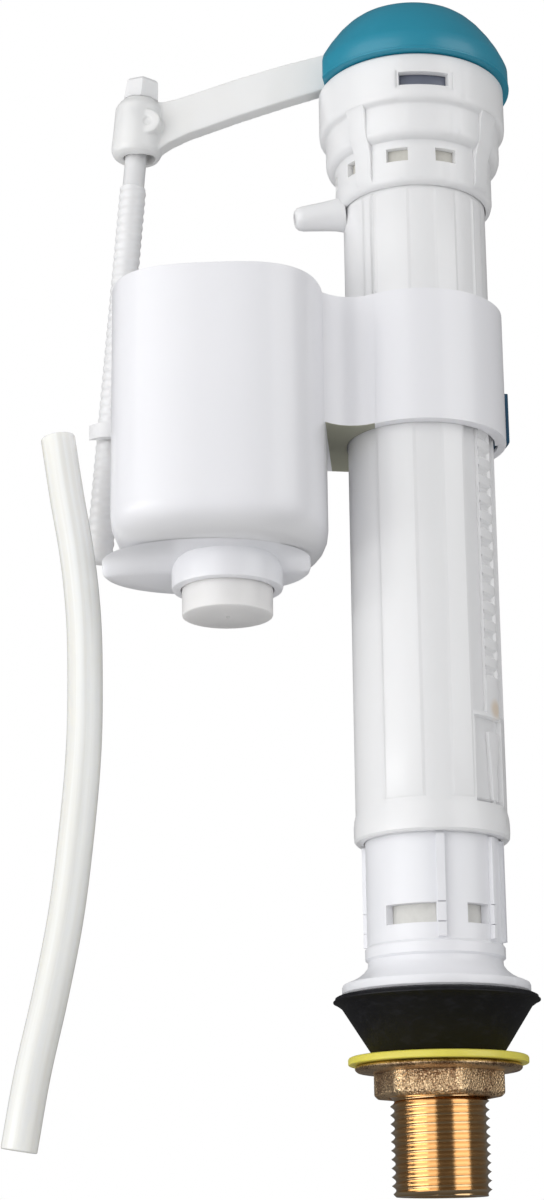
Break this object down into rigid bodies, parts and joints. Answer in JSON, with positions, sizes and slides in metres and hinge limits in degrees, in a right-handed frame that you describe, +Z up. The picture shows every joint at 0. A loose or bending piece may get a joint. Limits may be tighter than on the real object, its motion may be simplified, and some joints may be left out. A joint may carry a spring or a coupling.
{
  "type": "toilet fill valve",
  "caption": "Bottom-inlet toilet fill valve: windowed base, tall riser, domed head with lever, side float chamber on a sliding collar, threaded brass inlet and a loose refill hose.",
  "frame": {"origin": "on the riser's centreline at the underside of the plastic base flange, where the valve sits on the cistern floor", "axes": "+Z up along the riser, the float chamber and lever toward -X, the pictured side toward -Y"},
  "size_m": [0.1152, 0.061, 0.274],
  "materials": {
    "white_plastic": "glossy cool white moulding",
    "ivory_plastic": "satin warm white moulding, slightly translucent",
    "milky_plastic": "unpigmented moulding",
    "hose_plastic": "milky soft tube",
    "teal_plastic": "satin teal moulding",
    "black_rubber": "matte moulded rubber",
    "grey_rubber": "moulded rubber",
    "yellow_plastic": "greenish yellow washer",
    "cast_brass": "rough cast brass",
    "turned_brass": "turned brass thread"
  },
  "bodies": {
    "valve_body": {"inlet_shank": "turned_brass", "inlet_filter": "milky_plastic", "base_body": "white_plastic", "cone_seal": "black_rubber", "riser_tube": "white_plastic", "supply_tube": "milky_plastic", "head_body": "ivory_plastic", "diaphragm": "grey_rubber", "pilot_plate": "ivory_plastic", "lever_pin": "turned_brass", "head_cap": "teal_plastic", "refill_hose": "hose_plastic"},
    "washer": {"friction_washer": "yellow_plastic"},
    "nut": {"backnut": "cast_brass"},
    "lever": {"lever_arm": "ivory_plastic", "pilot_pad": "grey_rubber"},
    "swivel": {"rod_swivel": "ivory_plastic"},
    "rod": {"adjusting_rod": "ivory_plastic"},
    "chamber": {"float_chamber": "white_plastic", "drain_plate": "white_plastic"},
    "clip": {"lock_clip": "teal_plastic"},
    "drain": {"drain_cup": "milky_plastic"},
    "float_set": {"float": "ivory_plastic", "float_arm": "ivory_plastic"}
  },
  "joints": [
    {"name": "washer_travel", "type": "slide", "parent": "valve_body", "child": "washer", "axis": [0, 0, -1], "range_m": [0, 0.01452]},
    {"name": "nut_turn", "type": "hinge", "parent": "washer", "child": "nut", "pos_m": [0, 0, -0.018], "axis": [0, 0, -1], "range_deg": [0, 2880]},
    {"name": "lever_swing", "type": "hinge", "parent": "valve_body", "child": "lever", "pos_m": [-0.00996, 0.00091, 0.2206], "axis": [0.0906, 0.9959, 0], "range_deg": [0, 9.8]},
    {"name": "rod_swing", "type": "hinge", "parent": "lever", "child": "swivel", "pos_m": [-0.06583, 0.00599, 0.2126], "axis": [0.0906, 0.9959, 0], "range_deg": [-9.8, 0]},
    {"name": "rod_turn", "type": "hinge", "parent": "swivel", "child": "rod", "pos_m": [-0.06583, 0.00599, 0.2126], "axis": [0.0799, -0.0073, 0.9968], "continuous": true},
    {"name": "chamber_slide", "type": "slide", "parent": "valve_body", "child": "chamber", "axis": [0, 0, 1], "range_m": [-0.06, 0]},
    {"name": "clip_press", "type": "slide", "parent": "chamber", "child": "clip", "axis": [-0.9659, -0.2588, 0], "range_m": [0, 0.001], "stiffness_N_per_m": 500, "springref_m": -0.0005},
    {"name": "drain_lift", "type": "slide", "parent": "chamber", "child": "drain", "axis": [0, 0, 1], "range_m": [0, 0.003]},
    {"name": "float_lift", "type": "slide", "parent": "chamber", "child": "float_set", "axis": [0, 0, 1], "range_m": [0, 0.0096]}
  ],
  "couplings": [
    {"joint": "washer_travel", "follows": "nut_turn", "m_per_rad": 0.00028871},
    {"joint": "rod_swing", "follows": "lever_swing", "ratio": -1},
    {"joint": "float_lift", "follows": "lever_swing", "m_per_rad": 0.056125}
  ]
}
